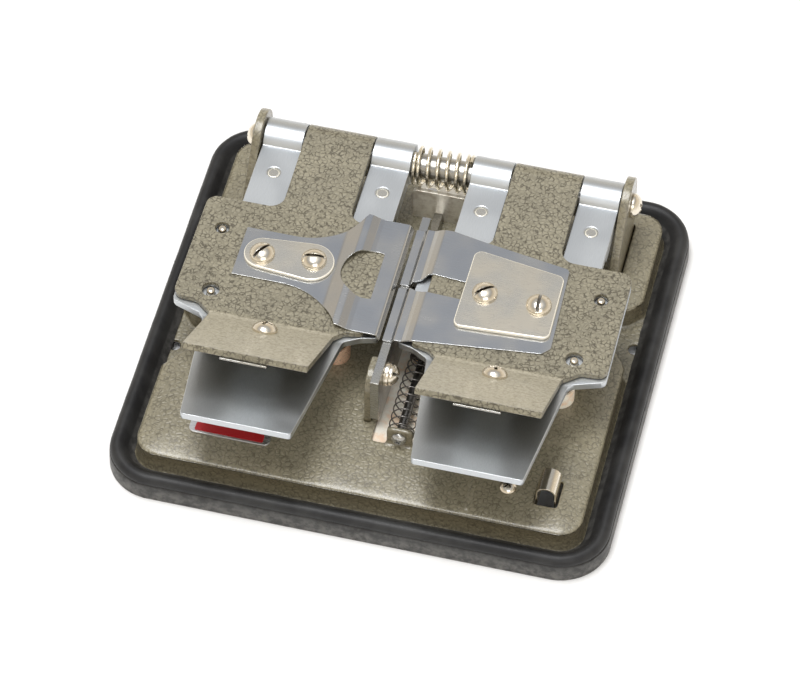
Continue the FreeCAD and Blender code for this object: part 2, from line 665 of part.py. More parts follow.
def upper_plate():
    arm_start = PLATE_REAR_Y + 1.5
    profile = flat_to_tab(UPPER_BEND_Y, UPPER_TOP, UPPER_THICKNESS, UPPER_TAB_ANGLE, UPPER_TAB_LENGTH, 4.0,
                          arm_start)
    sheet = prism(profile, side, 0, PLATE_SIDE_X + 1).fuse(upper_arm(arm_start))
    plate = sheet.common(prism(upper_outline(), plan, 0, SAFE_HEIGHT))
    plate = plate.fuse(knuckle(ARM_MIDDLE)).cut(axle_bore())
    for (x, y), radius in PIN_HOLES:
        plate = plate.cut(cylinder(radius, 10, Vector(x, y, 20)))
    return plate


def leaf_screw_solids(spots, backing, turned):
    """Slotted screws through a backing plate and leaf into the upper plate."""
    seat = LEAF_LEVEL + LEAF / 2 + backing
    solids = []
    for (x, y), angle in zip(spots, turned):
        solids.append(placed(screw(2.85, 1.9, M3, seat - 24.6, "slotted", angle), Vector(x, y, seat)))
    return solids


def right_leaf():
    """Steps down from the plate to a lip that lies over the centre bar."""
    step = LEAF_LEVEL - 1.12
    steps = [(-1.2, 24.27), (0.8, 24.27, 0.35), (1.5, step, 0.35), (3.2, step, 0.5), (4.1, step + 0.55, 1.2),
             (5.5, LEAF_LEVEL, 1.6), (37.0, LEAF_LEVEL)]
    sheet = prism(bent_strip(steps, LEAF), front, -20, 40)
    outline = [(-1.6, -16.0), (6.0, -16.0), (20.8, -14.3), (34.4, -12.8, 1.0), (36.2, -10.9, 1.0),
               (35.4, 12.2, 1.2), (15.7, 15.4), (7.6, 16.9), (-1.6, 16.9)]
    opening = [(-2.0, -0.5), (1.3, -0.5), (4.4, -1.6, 0.5), (15.0, -2.0), (15.0, 3.0), (5.0, 3.7, 0.6),
               (3.9, 2.4, 0.4), (1.6, 1.2, 0.3), (1.3, 0.5), (-2.0, 0.5)]
    return sheet.common(prism(outline, plan, 0, SAFE_HEIGHT)).cut(prism(opening, plan, 0, SAFE_HEIGHT))


def left_leaf():
    """Ends in a flange beside the centre bar; drawn for x > 0 and mirrored later."""
    steps = [(1.9, 24.7), (2.65, LEAF_LEVEL, 0.6), (8.5, LEAF_LEVEL, 1.2), (9.6, LEAF_LEVEL + 0.3, 1.0),
             (11.4, LEAF_LEVEL + 1.1, 1.2), (12.7, LEAF_LEVEL + 1.15, 1.2), (16.1, LEAF_LEVEL, 3.0),
             (40.0, LEAF_LEVEL)]
    sheet = prism(bent_strip(steps, LEAF), front, -20, 40)
    waist, flare, tail_x, waist_x, head_x = 7.0, 16.35, 38.4, 27.0, 12.2
    half_width = 16.4
    outline = prism([(1.0, -half_width), (tail_x, -half_width), (tail_x, half_width),
                     (1.0, half_width)], plan, 0, 60)
    for sign in (1, -1):
        centre_y = sign * (waist + flare)
        beside_waist = block(waist_x, tail_x + 1, waist, 40, 0, 60)
        beside_flare = block(head_x, waist_x + 1, waist + flare, 40, 0, 60)
        cuts = beside_waist.fuse(beside_flare)
        if sign < 0:
            cuts = cuts.mirror(Vector(0, 0, 0), ALONG_Y)
        outline = outline.cut(cylinder(flare, 60, Vector(waist_x, centre_y, 0))).cut(cuts)
    opening = cylinder(6.8, 60, Vector(7.8, 0, 0)).cut(block(-5, 6.2, -20, 20, 0, 60))
    return sheet.common(outline).cut(opening)


def left_backing():
    """Plate with two round ends of different size."""
    ends = [(32.9, 4.3), (21.7, 5.3)]
    base = LEAF_LEVEL + LEAF / 2
    discs = [cylinder(r, BACKING_LEFT, Vector(x, 0, base)) for x, r in ends]
    (x_small, r_small), (x_big, r_big) = ends
    tilt = math.asin((r_big - r_small) / (x_small - x_big))
    corners = []
    for x, r, sign in ((x_big, r_big, 1), (x_small, r_small, 1), (x_small, r_small, -1), (x_big, r_big, -1)):
        corners.append((x + r * math.sin(tilt), sign * r * math.cos(tilt)))
    return discs[0].fuse(discs[1]).fuse(prism(corners, plan, base, BACKING_LEFT)).removeSplitter()


def right_backing():
    corners = [(13.4, -10.2, 1.8), (35.2, -9.0, 1.8), (34.9, 9.2, 1.8), (13.6, 12.4, 1.8)]
    return prism(corners, plan, LEAF_LEVEL + LEAF / 2, BACKING_RIGHT)


def on_tab(shape):
    """Piece drawn flat behind the bend line, tilted with the upper plate's tab."""
    copy = shape.copy()
    copy.rotate(Vector(0, 0, 0), ALONG_X, -UPPER_TAB_ANGLE)
    copy.translate(Vector(0, UPPER_BEND_Y, UPPER_TOP))
    return copy


def tab_screw():
    flat = placed(screw(2.85, 2.0, M3, 3.1, "cross", 12), Vector(TAB_SCREW_X, -TAB_SCREW_REACH, 0))
    return on_tab(flat)


def catch_leaf():
    top = -UPPER_THICKNESS - TOUCHING
    flat = block(TAB_SCREW_X - 5.3, TAB_SCREW_X + 5.3, -UPPER_TAB_LENGTH - 1.0, -3.4, top - LEAF, top)
    return on_tab(flat).cut(tab_screw())


def nut_plate():
    top = -UPPER_THICKNESS - TOUCHING - LEAF
    flat = block(TAB_SCREW_X - 3.5, TAB_SCREW_X + 3.5, -8.6, -3.6, top - 1.2, top)
    return on_tab(flat).cut(tab_screw())


# ---------------------------------------------------------------- spring posts
def spring_cup(x):
    cup = cylinder(CUP_RADIUS, CUP_HEIGHT, Vector(x, POST_Y, DECK_TOP))
    return cup.cut(cylinder(CUP_RADIUS - CUP_WALL, CUP_HEIGHT, Vector(x, POST_Y, DECK_TOP + CUP_FLOOR)))


def lift_spring(x):
    foot = DECK_TOP + CUP_FLOOR + RUNNING_CLEARANCE
    height = LOWER_TOP - LOWER_THICKNESS - RUNNING_CLEARANCE - foot
    return coil(LIFT_SPRING_RADIUS, LIFT_SPRING_WIRE, LIFT_SPRING_PITCH, height, Vector(x, POST_Y, foot), UP)


# ---------------------------------------------------------------- assembly
def holder_pieces(name, leaf, backing_shape, backing, leaf_spots, turned, handed):
    """All pieces of one holder; handed mirrors them for the left side."""
    leaf_screws = leaf_screw_solids(leaf_spots, backing, turned)
    screw_group = group(leaf_screws)
    pieces = {
        "lower_plate": lower_plate(),
        "film_pins": group([film_pin(*REAR_PIN), film_pin(*FRONT_PIN)]),
        "plate_rivets": group([plate_rivet(x, y) for x, y in RIVETS]),
        "upper_plate": upper_plate().cut(screw_group).cut(tab_screw()).removeSplitter(),
        "pressure_leaf": leaf.cut(screw_group),
        "backing_plate": backing_shape.cut(screw_group),
        "leaf_screws": screw_group,
        "tab_screw": tab_screw(),
        "catch_leaf": catch_leaf(),
        "nut_plate": nut_plate(),
        "spring_cups": group([spring_cup(x) for x in POST_X]),
        "lift_springs": group([lift_spring(x) for x in POST_X]),
    }
    return {f"{name}_{piece}": handed(shape) for piece, shape in pieces.items()}


def assembly():
    deck_rivets = bracket_rivets()
    foot_rivets = rear_bracket_rivets()
    strip_screw = arch_spring_screw()
    fasteners = group(deck_rivets + foot_rivets + [strip_screw, rod_screw()])
    pieces = {
        "base_plate": base_plate(fasteners),
        "rubber_edging": rubber_edging(),
        "window_plate": window_plate(),
        "name_plate": name_plate(),
        "name_panel": name_panel(),
        "arch_spring": arch_spring().cut(strip_screw),
        "arch_spring_screw": strip_screw,
        "hinge_bracket": hinge_bracket(group(deck_rivets + foot_rivets)),
        "hinge_bracket_rivets": group(deck_rivets),
        "hinge_axle": hinge_axle(),
        "axle_screws": group(axle_screws()),
        "hinge_spring": coil(HINGE_SPRING_RADIUS, HINGE_SPRING_WIRE, HINGE_SPRING_PITCH, HINGE_SPRING_LENGTH,
                             Vector(-HINGE_SPRING_LENGTH / 2, AXLE_Y, AXLE_Z), ALONG_X),
        "centre_bar": centre_bar(),
        "bar_lug": bar_lug(),
        "bar_washer": bar_washer(),
        "bar_screw": bar_screw(),
        "rear_bracket": rear_bracket(group(foot_rivets)),
        "rear_bracket_rivets": group(foot_rivets),
        "guide_rod": guide_rod(),
        "rod_screw": rod_screw(),
        "slider": slider(),
        "rod_spring": coil(ROD_SPRING_RADIUS, ROD_SPRING_WIRE, ROD_SPRING_PITCH,
                           SLIDER_FRONT_Y - ROD_FRONT_Y - 2 * RUNNING_CLEARANCE,
                           Vector(ROD_X, ROD_FRONT_Y + RUNNING_CLEARANCE, ROD_Z), ALONG_Y),
    }
    pieces.update(holder_pieces("right", right_leaf(), right_backing(), BACKING_RIGHT,
                                RIGHT_LEAF_SCREWS, RIGHT_SLOT_ANGLES, as_drawn))
    pieces.update(holder_pieces("left", left_leaf(), left_backing(), BACKING_LEFT,
                                LEFT_LEAF_SCREWS, LEFT_SLOT_ANGLES, mirrored))
    return pieces


os.makedirs("parts", exist_ok=True)
for node, shape in assembly().items():
    shape.exportStep(f"parts/{node}.step")
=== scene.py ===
"""Looks of the cine film splicer: softened sheet metal, rubber, springs, materials, light and camera.

Lengths are written in millimetres in the row's frame and multiplied by MM to get metres.
"""
import json
import math

import bmesh
import bpy
from mathutils import Matrix, Vector, noise


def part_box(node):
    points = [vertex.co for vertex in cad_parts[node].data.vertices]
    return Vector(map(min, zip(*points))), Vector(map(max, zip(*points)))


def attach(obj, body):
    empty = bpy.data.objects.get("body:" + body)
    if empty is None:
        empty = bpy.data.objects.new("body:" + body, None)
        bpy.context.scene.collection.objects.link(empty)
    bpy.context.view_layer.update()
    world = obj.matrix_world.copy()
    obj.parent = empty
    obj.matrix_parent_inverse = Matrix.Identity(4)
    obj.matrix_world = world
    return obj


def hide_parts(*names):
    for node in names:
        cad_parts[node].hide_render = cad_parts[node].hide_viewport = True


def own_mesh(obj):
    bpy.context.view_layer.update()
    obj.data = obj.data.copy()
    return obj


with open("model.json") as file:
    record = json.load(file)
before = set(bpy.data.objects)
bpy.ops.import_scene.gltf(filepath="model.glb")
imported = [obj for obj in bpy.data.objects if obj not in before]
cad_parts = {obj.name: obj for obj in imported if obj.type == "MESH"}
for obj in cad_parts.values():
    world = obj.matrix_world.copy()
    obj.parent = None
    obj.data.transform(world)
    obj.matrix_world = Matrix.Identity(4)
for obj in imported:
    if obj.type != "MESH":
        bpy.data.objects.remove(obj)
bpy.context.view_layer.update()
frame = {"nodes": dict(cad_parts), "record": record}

MM = 0.001
SIDES = ("left", "right")
BODY_OF = {node: body for body, nodes in frame["record"]["behaviour"]["bodies"].items() for node in nodes}


# ---------------------------------------------------------------- shader building blocks
class Shader:
    """One node material, with short calls for the nodes that the finishes share."""

    def __init__(self, name):
        self.material = bpy.data.materials.new(name)
        self.material.use_nodes = True
        self.tree = self.material.node_tree
        self.surface = self.tree.nodes["Principled BSDF"]
        self.position = self.scaled(self.add("ShaderNodeTexCoord").outputs["Object"], (1 / MM,) * 3)

    def add(self, kind, **values):
        node = self.tree.nodes.new(kind)
        for name, value in values.items():
            setattr(node, name, value)
        return node

    def feed(self, socket, value):
        """Links a socket or sets a plain value."""
        if isinstance(value, bpy.types.NodeSocket):
            self.tree.links.new(value, socket)
        elif hasattr(value, "__len__") and len(value) == 3 and len(socket.default_value) == 4:
            socket.default_value = (*value, 1.0)
        else:
            socket.default_value = value

    def set(self, **inputs):
        for name, value in inputs.items():
            self.feed(self.surface.inputs[name.replace("_", " ")], value)

    def scaled(self, vector, scale):
        node = self.add("ShaderNodeVectorMath", operation="MULTIPLY")
        self.feed(node.inputs[0], vector)
        node.inputs[1].default_value = scale
        return node.outputs[0]

    def shifted(self, vector, amount, strength):
        """Vector pushed about by a colour texture."""
        centred = self.add("ShaderNodeVectorMath", operation="SUBTRACT")
        self.feed(centred.inputs[0], amount)
        centred.inputs[1].default_value = (0.5, 0.5, 0.5)
        pushed = self.scaled(centred.outputs[0], (strength,) * 3)
        total = self.add("ShaderNodeVectorMath", operation="ADD")
        self.feed(total.inputs[0], vector)
        self.feed(total.inputs[1], pushed)
        return total.outputs[0]

    def noise(self, scale, detail=2.0, roughness=0.5, vector=None, output="Fac"):
        node = self.add("ShaderNodeTexNoise")
        self.feed(node.inputs["Vector"], vector or self.position)
        node.inputs["Scale"].default_value = scale
        node.inputs["Detail"].default_value = detail
        node.inputs["Roughness"].default_value = roughness
        return node.outputs[output]

    def cells(self, size, vector):
        """Distance to the nearest border of a pattern of rounded cells."""
        node = self.add("ShaderNodeTexVoronoi", feature="DISTANCE_TO_EDGE")
        self.feed(node.inputs["Vector"], vector)
        node.inputs["Scale"].default_value = 1 / size
        return node.outputs["Distance"]

    def span(self, value, low, high, to_low=0.0, to_high=1.0):
        """Value mapped from low..high to to_low..to_high, with soft ends."""
        node = self.add("ShaderNodeMapRange", interpolation_type="SMOOTHSTEP")
        self.feed(node.inputs["Value"], value)
        for name, number in zip(("From Min", "From Max", "To Min", "To Max"), (low, high, to_low, to_high)):
            node.inputs[name].default_value = number
        return node.outputs["Result"]

    def split(self, vector):
        node = self.add("ShaderNodeSeparateXYZ")
        self.feed(node.inputs[0], vector)
        return node.outputs

    def calc(self, operation, a, b=0.0):
        node = self.add("ShaderNodeMath", operation=operation)
        self.feed(node.inputs[0], a)
        self.feed(node.inputs[1], b)
        return node.outputs[0]

    def blend(self, factor, a, b):
        """Colour a where the factor is 0, colour b where it is 1."""
        node = self.add("ShaderNodeMix", data_type="RGBA", blend_type="MIX")
        self.feed(node.inputs["Factor"], factor)
        self.feed(node.inputs["A"], a)
        self.feed(node.inputs["B"], b)
        return node.outputs["Result"]

    def bump(self, height, depth, strength=1.0, normal=None):
        """Relief of the given depth in millimetres."""
        node = self.add("ShaderNodeBump")
        node.inputs["Strength"].default_value = strength
        node.inputs["Distance"].default_value = depth * MM
        self.feed(node.inputs["Height"], height)
        if normal is not None:
            self.feed(node.inputs["Normal"], normal)
        return node.outputs["Normal"]


# Colours of painted shade on steep walls, undersides and crevices, of the paint's crackle, and of the
# rubber's skirt, partly dusty and partly painted light; the tab paint, partly painted highlight, starts
# between the two depths of TAB_Y
WALL_SHADE_BROWN = (0.13, 0.105, 0.055)
RING_BROWN = (0.1, 0.088, 0.055)
LINE_BROWN = (0.05, 0.04, 0.022)
UNDERSIDE_SHADE = (0.03, 0.027, 0.02)
SLOT_SHADE_COLOUR = (0.03, 0.024, 0.017)
CREVICE = 0.9
DUST_AND_SHEEN_GREY = (0.125, 0.122, 0.115)
TAB_Y = (-4.0, -10.0)


def hammertone(name, base, light, cell, crack, gloss):
    """Olive hammer-finish paint: pebbles parted by thin dark wandering lines under a glossy coat.

    Pebbles are cell millimetres wide and crack is how dark their borders are. Bent-up tabs in front turn
    to the light colour with few lines: the few lines are pooled paint, the light colour a painted highlight.
    Steep walls get brown painted shade, and undersides nearly black painted shade.
    """
    s = Shader(name)
    geometry = s.add("ShaderNodeNewGeometry").outputs
    normal = s.split(geometry["Normal"])
    front_half = s.span(s.split(s.position)["Y"], *TAB_Y)
    tab = s.calc("MULTIPLY", s.span(normal["Y"], 0.08, 0.3), front_half)
    under = s.span(s.calc("MULTIPLY", normal["Z"], -1.0), 0.1, 0.6)
    steep = s.span(normal["Z"], 0.93, 0.6)
    warp = s.noise(0.8 / cell, 2.0, 0.55, output="Color")
    wandering = s.shifted(s.position, warp, 0.75 * cell)
    edge = s.cells(cell, wandering)
    broken = s.span(s.noise(0.95 / cell, 2.0), 0.44, 0.56)
    lines = s.calc("MULTIPLY", s.span(edge, 0.0, 0.17, 1.0, 0.0), broken)
    halo = s.span(edge, 0.0, 0.3, 1.0, 0.0)
    tone = s.blend(s.span(s.noise(0.12, 3.0), 0.3, 0.7), base, tuple(1.22 * c for c in base))
    grain = s.noise(3.2, 3.0, 0.65)
    tone = s.blend(s.span(grain, 0.4, 0.7, 0.0, 0.3), tone, light)
    # Painted shade: steep walls turn brown.
    tone = s.blend(s.calc("MULTIPLY", steep, 0.6 * gloss), tone, WALL_SHADE_BROWN)
    tab = s.calc("MULTIPLY", tab, 1.0 - 0.8 * gloss)
    speckle = s.span(s.noise(1.1, 3.0, 0.7), 0.45, 0.65, 0.0, 0.55)
    # Bent-up tabs in front: fewer lines where the paint pooled, and the pale colour as a painted highlight
    # where they face the light.
    tone = s.blend(tab, tone, s.blend(speckle, light, base))
    plain = s.calc("SUBTRACT", 1.0, tab)
    soft_ring = s.calc("MULTIPLY", s.calc("MULTIPLY", halo, 0.42 * crack), plain)
    thin_line = s.calc("MULTIPLY", s.calc("MULTIPLY", lines, crack), plain)
    tone = s.blend(soft_ring, tone, RING_BROWN)
    tone = s.blend(thin_line, tone, LINE_BROWN)
    # Painted shade: faces that look down go nearly black.
    s.set(Base_Color=s.blend(s.calc("MULTIPLY", under, 0.75), tone, UNDERSIDE_SHADE))
    s.set(Roughness=s.span(grain, 0.3, 0.7, 0.5 - 0.2 * gloss, 0.62 - 0.2 * gloss))
    relief = s.bump(s.span(edge, 0.0, 0.45), 0.09 * cell, 0.45 + 0.4 * gloss)
    s.set(Normal=s.bump(s.noise(0.9 / cell, 2.0), 0.2 * cell, 0.45, relief))
    s.set(Coat_Weight=0.35 + 0.45 * gloss, Coat_Roughness=0.14 + 0.08 * gloss)
    return s.material


def brushed(name, colour, roughness, streak, depth=0.004, tint=None, blotch=0.0, slot_shade=0.0,
            rim_highlight=None):
    """Metal with fine streaks; streak holds the streaks' frequency along each axis, per millimetre.

    Patches of tint appear as strongly as blotch says, painted shade darkens slots and crevices, and a
    painted highlight in a dull light colour can lie on rolled edges.
    """
    s = Shader(name)
    lines = s.noise(1.0, 2.0, 0.5, s.scaled(s.position, streak))
    patch = s.noise(0.13, 1.0, 0.4)
    base = s.blend(s.span(lines, 0.3, 0.7), colour, tuple(0.92 * c for c in colour))
    if tint is not None:
        base = s.blend(s.span(patch, 0.38, 0.68, 0.0, blotch), base, tint)
    if slot_shade:
        # Painted shade: slots and crevices go dark where the occlusion probe finds them closed in.
        crevice = s.add("ShaderNodeAmbientOcclusion", samples=6, only_local=True)
        crevice.inputs["Distance"].default_value = CREVICE * MM
        open_air = s.span(crevice.outputs["AO"], 0.35, 0.85)
        base = s.blend(s.calc("MULTIPLY", s.calc("SUBTRACT", 1.0, open_air), slot_shade), base, SLOT_SHADE_COLOUR)
    if rim_highlight is None:
        s.set(Base_Color=base, Metallic=1.0)
    else:
        # Painted highlight: edges that turn away from the top take a dull light colour and lose most of
        # their metal look.
        rolled = s.span(s.split(s.add("ShaderNodeNewGeometry").outputs["Normal"])["Z"], 0.992, 0.93)
        s.set(Base_Color=s.blend(rolled, base, rim_highlight), Metallic=s.span(rolled, 0.0, 1.0, 1.0, 0.25))
    uneven = s.calc("ADD", s.span(lines, 0.25, 0.75, -0.03, 0.03), s.span(patch, 0.3, 0.7, -0.02, 0.03))
    s.set(Roughness=s.calc("ADD", uneven, roughness))
    s.set(Normal=s.bump(lines, depth, 0.35))
    return s.material


def plated_sheet(name, colour, stain, roughness, metallic):
    """Dull plated sheet with cloudy stains."""
    s = Shader(name)
    cloud = s.noise(0.3, 4.0, 0.62)
    fine = s.noise(2.6, 3.0, 0.6)
    tone = s.blend(s.span(cloud, 0.42, 0.66, 0.0, 0.85), colour, stain)
    s.set(Base_Color=s.blend(s.span(fine, 0.4, 0.7, 0.0, 0.25), tone, tuple(0.75 * c for c in colour)))
    s.set(Metallic=metallic, Roughness=s.span(fine, 0.3, 0.7, roughness - 0.06, roughness + 0.08))
    s.set(Normal=s.bump(fine, 0.015, 0.5))
    return s.material


def rubber():
    """Black rubber, lighter grey on the skirt below its bead and more so towards the foot: partly dusty,
    partly painted light where the skirt faces the front.
    """
    s = Shader("black_rubber")
    fine = s.noise(5.0, 3.0, 0.6)
    bloom = s.noise(0.11, 3.0, 0.6)
    height = s.split(s.position)["Z"]
    tone = s.blend(s.span(bloom, 0.38, 0.7), (0.013, 0.013, 0.014), (0.03, 0.03, 0.03))
    patches = s.span(s.noise(0.5, 3.0, 0.7), 0.35, 0.65, 0.25, 1.0)
    # Lighter grey low on the skirt: partly dusty, partly painted light for the light the skirt catches.
    dust_and_sheen = s.calc("MULTIPLY", s.span(height, 1.6, 4.6, 1.0, 0.35), s.span(height, 4.3, 4.7, 1.0, 0.0))
    dust_and_sheen = s.calc("MULTIPLY", dust_and_sheen, patches)
    s.set(Base_Color=s.blend(dust_and_sheen, tone, DUST_AND_SHEEN_GREY))
    s.set(Roughness=s.span(fine, 0.3, 0.7, 0.4, 0.54), Specular_IOR_Level=0.36)
    pores = s.bump(fine, 0.025, 0.5)
    s.set(Normal=s.bump(s.noise(0.5, 2.0), 0.09, 0.35, pores))
    return s.material


def badge_red():
    """Blank red enamel with a little wear."""
    s = Shader("badge_red")
    wear = s.span(s.noise(1.6, 3.0, 0.6), 0.55, 0.75, 0.0, 0.35)
    s.set(Base_Color=s.blend(wear, (0.38, 0.012, 0.016), (0.5, 0.05, 0.05)), Roughness=0.28)
    s.set(Normal=s.bump(s.noise(2.5, 2.0), 0.01, 0.4), Coat_Weight=0.3)
    return s.material


FINE = (0.35, 9.0, 9.0)
MATERIALS = {
    "base_paint": hammertone("base_paint", (0.222, 0.2, 0.136), (0.37, 0.34, 0.255), 1.08, 0.5, 1.0),
    "plate_paint": hammertone("plate_paint", (0.215, 0.196, 0.138), (0.47, 0.43, 0.335), 1.0, 0.85, 0.3),
    "rubber": rubber(),
    "aluminium": brushed("satin_aluminium", (0.6, 0.625, 0.645), 0.38, (9.0, 0.5, 9.0), 0.004),
    "leaf": brushed("leaf_steel", (0.57, 0.585, 0.605), 0.22, (0.4, 8.0, 8.0), 0.002,
                    (0.62, 0.58, 0.5), 0.3),
    "nickel": brushed("bright_nickel", (0.84, 0.77, 0.65), 0.2, (3.0, 3.0, 3.0), 0.002, slot_shade=0.95),
    "backing": brushed("backing_nickel", (0.76, 0.73, 0.66), 0.27, FINE, 0.002, (0.74, 0.66, 0.52), 0.5,
                       rim_highlight=(0.95, 0.9, 0.78)),
    "spring": brushed("spring_steel", (0.84, 0.78, 0.65), 0.17, (3.0, 3.0, 3.0), 0.002),
    "cream": plated_sheet("cream_plate", (1.0, 0.95, 0.84), (0.92, 0.66, 0.45), 0.4, 0.0),
    "cup_copper": plated_sheet("cup_copper", (0.95, 0.64, 0.45), (0.72, 0.4, 0.24), 0.3, 0.3),
    "mottled": plated_sheet("mottled_plate", (0.78, 0.74, 0.65), (0.5, 0.44, 0.35), 0.36, 0.5),
    "dark_steel": brushed("dark_steel", (0.2, 0.19, 0.18), 0.3, (3.0, 3.0, 3.0), 0.004),
    "bar": brushed("bar_steel", (0.5, 0.5, 0.49), 0.26, (0.4, 9.0, 9.0), 0.004,
                   (0.4, 0.38, 0.33), 0.6),
    "badge": brushed("badge_silver", (0.75, 0.75, 0.75), 0.3, FINE, 0.003),
    "red": badge_red(),
}

NODE_FINISH = {
    "base_plate": "base_paint", "hinge_bracket": "base_paint", "rubber_edging": "rubber",
    "window_plate": "cream", "name_plate": "badge", "name_panel": "red", "arch_spring": "nickel",
    "arch_spring_screw": "nickel", "hinge_bracket_rivets": "base_paint", "hinge_axle": "bar",
    "axle_screws": "nickel", "hinge_spring": "spring", "centre_bar": "bar", "bar_lug": "base_paint",
    "bar_washer": "nickel", "bar_screw": "nickel", "rear_bracket": "mottled",
    "rear_bracket_rivets": "backing", "guide_rod": "dark_steel", "rod_screw": "bar",
    "slider": "dark_steel", "rod_spring": "dark_steel",
}
HOLDER_FINISH = {
    "lower_plate": "aluminium", "film_pins": "nickel", "plate_rivets": "backing",
    "upper_plate": "plate_paint", "pressure_leaf": "leaf", "backing_plate": "backing",
    "leaf_screws": "nickel", "tab_screw": "nickel", "catch_leaf": "bar", "nut_plate": "base_paint",
    "spring_cups": "cup_copper", "lift_springs": "spring",
}
for hand in SIDES:
    for piece, finish in HOLDER_FINISH.items():
        NODE_FINISH[f"{hand}_{piece}"] = finish
NODE_FINISH["right_spring_cups"] = "cream"


# ---------------------------------------------------------------- mesh building blocks
# Edges sharper than SHARP_EDGE degrees are broken; facets within NEARLY_FLAT degrees become one face
SHARP_EDGE = 30.0
NEARLY_FLAT = 0.4
WELD = 0.001


def new_object(name, mesh, body, finish):
    obj = bpy.data.objects.new(name, mesh)
    bpy.context.scene.collection.objects.link(obj)
    mesh.materials.clear()
    mesh.materials.append(MATERIALS[finish])
    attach(obj, body)
    return obj


def shade_by_angle(mesh, degrees):
    mesh.polygons.foreach_set("use_smooth", [True] * len(mesh.polygons))
    mesh.set_sharp_from_angle(angle=math.radians(degrees))


def even_normals(obj):
    """Keeps flats flat beside their rounded edges."""
    weighted = obj.modifiers.new("even_normals", "WEIGHTED_NORMAL")
    weighted.keep_sharp = True
    weighted.weight = 100


def clean_copy(node):
    """Joined-up copy of a CAD node's mesh, with each flat face as one polygon."""
    work = bmesh.new()
    work.from_mesh(frame["nodes"][node].data)
    bmesh.ops.remove_doubles(work, verts=work.verts, dist=WELD * MM)
    bmesh.ops.dissolve_limit(work, angle_limit=math.radians(NEARLY_FLAT), verts=work.verts, edges=work.edges)
    return work


def softened(node, width):
    """Piece that stands for a CAD node, with its sharp edges broken by width."""
    work = clean_copy(node)
    limit = math.radians(SHARP_EDGE)
    edges = [e for e in work.edges if len(e.link_faces) == 2 and e.calc_face_angle(0.0) > limit]
    bmesh.ops.bevel(work, geom=edges, offset=width * MM, segments=2, profile=0.5, affect="EDGES",
                    clamp_overlap=False, loop_slide=False)
    mesh = bpy.data.meshes.new(f"{node}_part")
    work.to_mesh(mesh)
    work.free()
    shade_by_angle(mesh, 40)
    obj = new_object(f"{node}_part", mesh, BODY_OF[node], NODE_FINISH[node])
    even_normals(obj)
    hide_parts(node)


def pressed(node, voxel, rounds):
    """Piece that stands for a pressed sheet: every bend and press of the CAD node goes soft."""
    work = clean_copy(node)
    mesh = bpy.data.meshes.new(f"{node}_pressing")
    work.to_mesh(mesh)
    work.free()
    obj = new_object(f"{node}_pressing", mesh, BODY_OF[node], NODE_FINISH[node])
    remesh = obj.modifiers.new("remesh", "REMESH")
    remesh.mode = "VOXEL"
    remesh.voxel_size = voxel * MM
    smooth = obj.modifiers.new("smooth", "SMOOTH")
    smooth.factor = 0.5
    smooth.iterations = rounds
    graph = bpy.context.evaluated_depsgraph_get()
    final = bpy.data.meshes.new_from_object(obj.evaluated_get(graph))
    obj.modifiers.clear()
    obj.data = final
    shade_by_angle(final, 60)
    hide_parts(node)
    return obj


# The deck's edge and wall, as distances inside the edging's outline; depths and heights of its shaping
DECK_EDGE_INSET = 7.0
WALL_INSETS = (5.3, 7.6)
WALL_HOLLOW = 0.75
CROWN_WIDTH = 8.0
CROWN_DROP = 0.62
DENT_DEPTH = 0.2
DENT_FREQUENCY = 0.11
RIDGE_X = 25.3
RIDGE_SPAN = (-45.5, -36.0)
RIDGE_HEIGHT = 0.32
RIDGE_WIDTH = 0.4
FLANGE_HEIGHT = 1.2
NEAR_TOP = 0.6


def inset_of(x, y, half_x, half_y, corner):
    """Distance inside a rounded rectangle, with the direction that leads further in."""
    beyond = Vector((abs(x) - half_x + corner, abs(y) - half_y + corner))
    if beyond.x > 0 and beyond.y > 0:
        inward = -beyond.normalized()
        depth = corner - beyond.length
    elif half_x - abs(x) < half_y - abs(y):
        inward, depth = Vector((-1, 0)), half_x - abs(x)
    else:
        inward, depth = Vector((0, -1)), half_y - abs(y)
    return depth, Vector((math.copysign(inward.x, -x) if inward.x else 0.0,
                          math.copysign(inward.y, -y) if inward.y else 0.0, 0.0))


def shape_deck(mesh):
    """Hollows the deck's wall, lets the top fall away softly to its edges, raises one faint press line."""
    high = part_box("rubber_edging")[1] / MM
    deck_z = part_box("name_plate")[0].z / MM
    foot_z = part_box("base_plate")[0].z / MM + FLANGE_HEIGHT
    for vertex in mesh.vertices:
        x, y, z = vertex.co / MM
        depth, inward = inset_of(x, y, high.x, high.y, EDGING_CORNER)
        if WALL_INSETS[0] < depth < WALL_INSETS[1] and foot_z < z < deck_z:
            vertex.co += inward * (WALL_HOLLOW * math.sin(math.pi * (z - foot_z) / (deck_z - foot_z)) * MM)
        if abs(z - deck_z) > NEAR_TOP:
            continue
        reach = max(0.0, min(1.0, 1 - (depth - DECK_EDGE_INSET) / CROWN_WIDTH))
        dent = max(0.0, DENT_DEPTH * noise.noise(Vector((x, y, 0)) * DENT_FREQUENCY))
        on_ridge = RIDGE_SPAN[0] < y < RIDGE_SPAN[1]
        ridge = RIDGE_HEIGHT * math.exp(-((x - RIDGE_X) / RIDGE_WIDTH) ** 2) if on_ridge else 0.0
        vertex.co.z -= (CROWN_DROP * reach ** 2 + dent * reach - ridge) * MM


